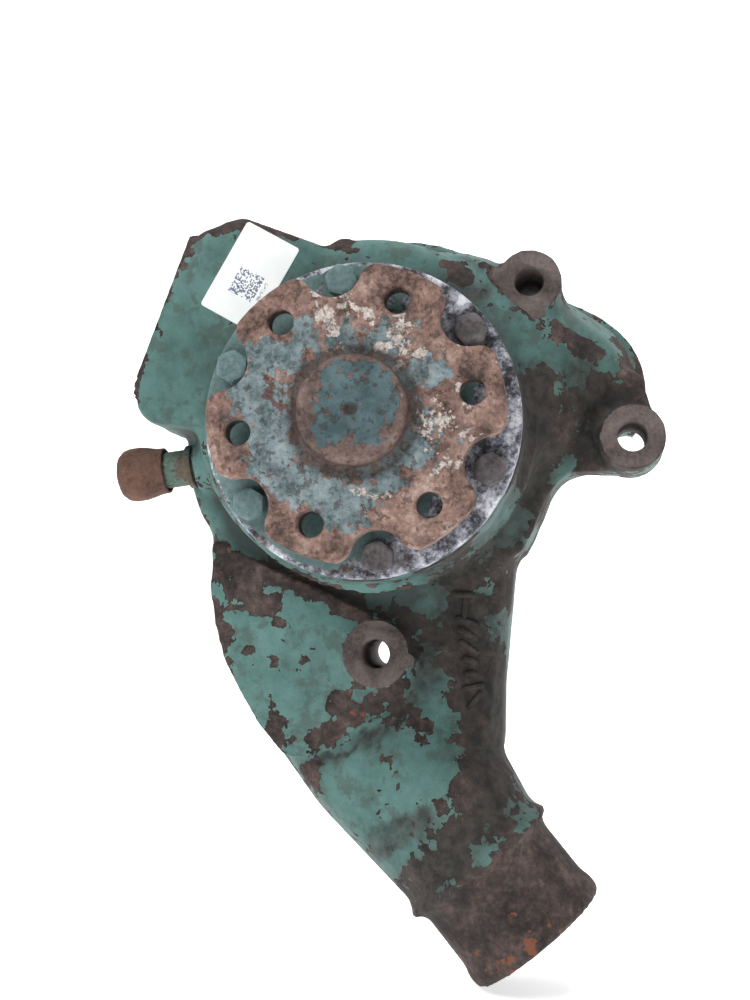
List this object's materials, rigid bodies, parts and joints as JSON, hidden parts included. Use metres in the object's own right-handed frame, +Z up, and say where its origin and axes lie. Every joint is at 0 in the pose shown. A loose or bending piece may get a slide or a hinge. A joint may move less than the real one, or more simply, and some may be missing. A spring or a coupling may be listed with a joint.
{
  "type": "coolant pump",
  "caption": "Centrifugal engine coolant pump: cast volute housing with hose spigot and bypass port, bearing housing, turning shaft with a lobed drive flange.",
  "frame": {"origin": "where the shaft's axis meets the mounting face against the engine", "axes": "-Y forward along the shaft, from the engine towards the fan; +Z up; +X to the right seen from the front"},
  "size_m": [0.2627, 0.158, 0.3651],
  "materials": {
    "engine_paint": "grey iron casting under flaking green engine paint, with rust where it is bare",
    "machined_iron": "turned grey iron face, stained, with green paint left on one side",
    "flange_steel": "steel plate, surface rust under worn paint",
    "bolt_steel": "blackened steel, some heads painted green",
    "washer_steel": "dull spring steel",
    "rusty_steel": "rusted steel",
    "nipple_steel": "steel tube with worn paint",
    "label_film": "white printed sticker",
    "gasket_fibre": "oiled gasket paper",
    "plug_steel": "pressed steel sheet",
    "bronze": "machined bronze or pressed brass",
    "seal_rubber": "black rubber",
    "spring_steel": "spring steel",
    "bearing_steel": "ground bearing steel",
    "carbon": "pressed carbon",
    "seat_ceramic": "lapped ceramic",
    "impeller_iron": "cast iron stained by coolant"
  },
  "bodies": {
    "housing": {"pump_housing": "engine_paint", "core_plug": "plug_steel", "wear_ring": "bronze", "delivery_seal": "seal_rubber", "heater_nipple": "nipple_steel", "nipple_cap": "rusty_steel", "label": "label_film", "bearing_housing": "machined_iron", "bearing_housing_gasket": "gasket_fibre", "cover_bolts": "bolt_steel", "cover_washers": "washer_steel", "circlip": "spring_steel", "grease_seal": "seal_rubber", "outer_spacer": "spring_steel", "front_outer_race": "bearing_steel", "rear_outer_race": "bearing_steel", "seal_shell": "bronze", "seal_bellows": "seal_rubber", "seal_spring": "spring_steel", "seal_carbon": "carbon"},
    "rotor": {"shaft": "bearing_steel", "drive_flange": "flange_steel", "inner_spacer": "spring_steel", "front_inner_race": "bearing_steel", "rear_inner_race": "bearing_steel", "slinger": "seal_rubber", "seal_seat": "seat_ceramic", "impeller": "impeller_iron", "impeller_nut": "spring_steel"},
    "front_ball_set": {"front_cage": "bronze", "front_balls": "bearing_steel"},
    "rear_ball_set": {"rear_cage": "bronze", "rear_balls": "bearing_steel"}
  },
  "joints": [
    {"name": "shaft_spin", "type": "hinge", "parent": "housing", "child": "rotor", "pos_m": [0, -0.1, 0], "axis": [0, -1, 0], "continuous": true},
    {"name": "front_balls_orbit", "type": "hinge", "parent": "housing", "child": "front_ball_set", "pos_m": [0, -0.1245, 0], "axis": [0, -1, 0], "continuous": true},
    {"name": "rear_balls_orbit", "type": "hinge", "parent": "housing", "child": "rear_ball_set", "pos_m": [0, -0.1035, 0], "axis": [0, -1, 0], "continuous": true}
  ],
  "couplings": [
    {"joint": "front_balls_orbit", "follows": "shaft_spin", "ratio": 0.397},
    {"joint": "rear_balls_orbit", "follows": "shaft_spin", "ratio": 0.397}
  ]
}
